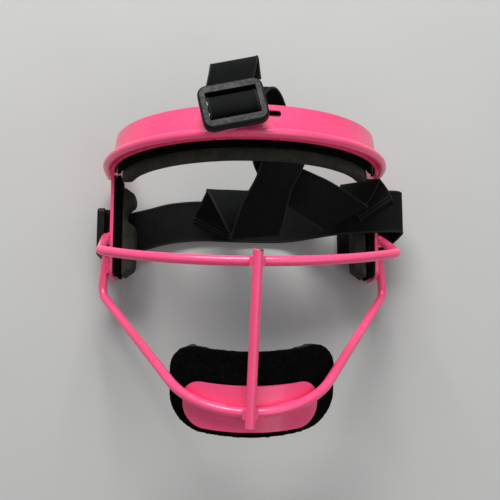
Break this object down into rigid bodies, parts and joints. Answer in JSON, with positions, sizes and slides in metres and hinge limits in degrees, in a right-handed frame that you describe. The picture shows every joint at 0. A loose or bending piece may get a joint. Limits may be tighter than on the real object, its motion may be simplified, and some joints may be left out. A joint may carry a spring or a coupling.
{
  "type": "fielder's face mask",
  "caption": "Open wire face mask with padded brow, temples and chin, elastic head straps and slide buckles, for ball sports.",
  "frame": {"origin": "middle of the head opening, in the plane of the temple plates' rear edges", "axes": "+Z out of the face, +Y to the top of the head, +X to the right as seen from the front; the mask lies on its back"},
  "size_m": [0.1803, 0.1916, 0.1244],
  "materials": {
    "coated_steel": "glossy powder coat",
    "hook_tape": "hook tape",
    "loop_fabric": "napped loop pile",
    "pad_foam": "matte moulded foam",
    "buckle_plastic": "satin moulded plastic",
    "webbing": "elastic twill webbing",
    "thread": "sewing thread"
  },
  "bodies": {
    "frame": {"frame_band": "coated_steel", "brow_wire": "coated_steel", "eye_wire": "coated_steel", "jaw_wire": "coated_steel", "centre_wire": "coated_steel", "chin_plate": "coated_steel", "cage_welds": "coated_steel", "temple_welds": "coated_steel", "brow_hook_tape": "hook_tape", "temple_hook_tape_left": "hook_tape", "temple_hook_tape_right": "hook_tape", "chin_hook_tape": "hook_tape", "rear_strap": "webbing", "top_strap": "webbing", "side_leg": "webbing", "strap_stitching": "thread"},
    "brow_pad": {"brow_pad_backing": "loop_fabric", "brow_pad_foam": "pad_foam"},
    "temple_pad_left": {"temple_pad_left_backing": "loop_fabric", "temple_pad_left_foam": "pad_foam"},
    "temple_pad_right": {"temple_pad_right_backing": "loop_fabric", "temple_pad_right_foam": "pad_foam"},
    "chin_pad": {"chin_pad_loop": "loop_fabric", "chin_pad_foam": "pad_foam"},
    "top_buckle": {"top_buckle": "buckle_plastic"},
    "side_buckle": {"side_buckle": "buckle_plastic"}
  },
  "joints": [
    {"name": "brow_pad_pull", "type": "slide", "parent": "frame", "child": "brow_pad", "axis": [0, 0, -1], "range_m": [0, 0.008]},
    {"name": "temple_pad_left_pull", "type": "slide", "parent": "frame", "child": "temple_pad_left", "axis": [1, 0, 0], "range_m": [0, 0.01]},
    {"name": "temple_pad_right_pull", "type": "slide", "parent": "frame", "child": "temple_pad_right", "axis": [-1, 0, 0], "range_m": [0, 0.005]},
    {"name": "chin_pad_pull", "type": "slide", "parent": "frame", "child": "chin_pad", "axis": [0, 0.2588, -0.9659], "range_m": [0, 0.025]},
    {"name": "top_buckle_tilt", "type": "hinge", "parent": "frame", "child": "top_buckle", "pos_m": [-0.01027, 0.05638, 0.11241], "axis": [0.9781, 0.2079, 0], "range_deg": [0, 12]},
    {"name": "side_buckle_tilt", "type": "hinge", "parent": "frame", "child": "side_buckle", "pos_m": [-0.0813, 0.009, 0.0117], "axis": [0, 1, 0], "range_deg": [0, 15]}
  ]
}
